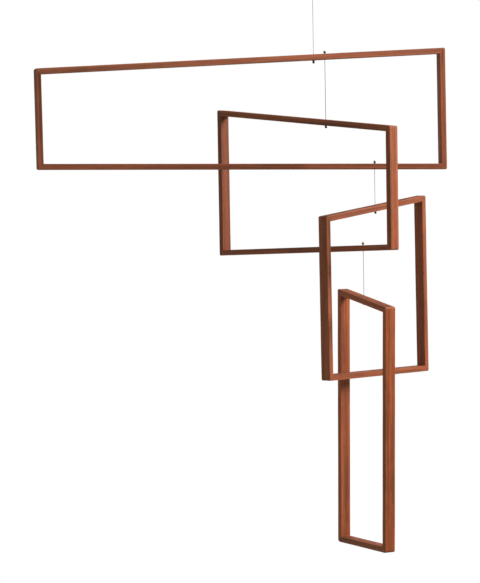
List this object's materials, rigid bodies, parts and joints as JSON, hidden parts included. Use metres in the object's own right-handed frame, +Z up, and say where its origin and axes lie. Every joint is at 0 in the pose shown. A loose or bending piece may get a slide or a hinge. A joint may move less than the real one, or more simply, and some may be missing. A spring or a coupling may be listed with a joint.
{
  "type": "hanging mobile sculpture",
  "caption": "Hanging mobile of slender four-sided wooden frames, linked through each other's openings and hung on thin plumb lines so that each can turn.",
  "frame": {"origin": "where a hook bears on the inside top of the hanging ring", "axes": "+Z up along line 1, +X along the plane of frame 1 towards its taller end, +Y through frame 1 away from the viewer"},
  "size_m": [0.5002, 0.2772, 0.6724],
  "materials": {
    "wood": "oiled reddish-brown hardwood, satin",
    "line": "thin grey monofilament",
    "stop": "small dark stop, satin",
    "ring": "round steel wire"
  },
  "bodies": {
    "root": {"hanging_ring": "ring", "line_1": "line", "line_1_lower_stop": "stop"},
    "frame_1": {"frame_1_top_rail": "wood", "frame_1_right_stile": "wood", "frame_1_bottom_rail": "wood", "frame_1_left_stile": "wood", "line_2": "line", "line_2_upper_stop": "stop", "line_2_lower_stop": "stop", "line_3": "line", "line_3_upper_stop": "stop", "line_3_lower_stop": "stop"},
    "frame_2": {"frame_2_top_rail": "wood", "frame_2_right_stile": "wood", "frame_2_bottom_rail": "wood", "frame_2_left_stile": "wood", "line_4": "line", "line_4_upper_stop": "stop", "line_4_lower_stop": "stop"},
    "frame_3": {"frame_3_top_rail": "wood", "frame_3_right_stile": "wood", "frame_3_bottom_rail": "wood", "frame_3_left_stile": "wood"},
    "frame_4": {"frame_4_top_rail": "wood", "frame_4_right_stile": "wood", "frame_4_bottom_rail": "wood", "frame_4_left_stile": "wood"}
  },
  "joints": [
    {"name": "frame_1_swivel", "type": "hinge", "parent": "root", "child": "frame_1", "pos_m": [0, 0, -0.0833], "axis": [0, 0, 1], "continuous": true},
    {"name": "frame_2_swivel", "type": "hinge", "parent": "frame_1", "child": "frame_2", "pos_m": [0.014, 0, -0.1613], "axis": [0, 0, 1], "range_deg": [-7, 50]},
    {"name": "frame_3_swivel", "type": "hinge", "parent": "frame_1", "child": "frame_3", "pos_m": [0.074, 0, -0.2648], "axis": [0, 0, 1], "range_deg": [-4, 22]},
    {"name": "frame_4_swivel", "type": "hinge", "parent": "frame_2", "child": "frame_4", "pos_m": [0.04285, -0.05204, -0.3733], "axis": [0, 0, 1], "range_deg": [-5, 22]}
  ]
}
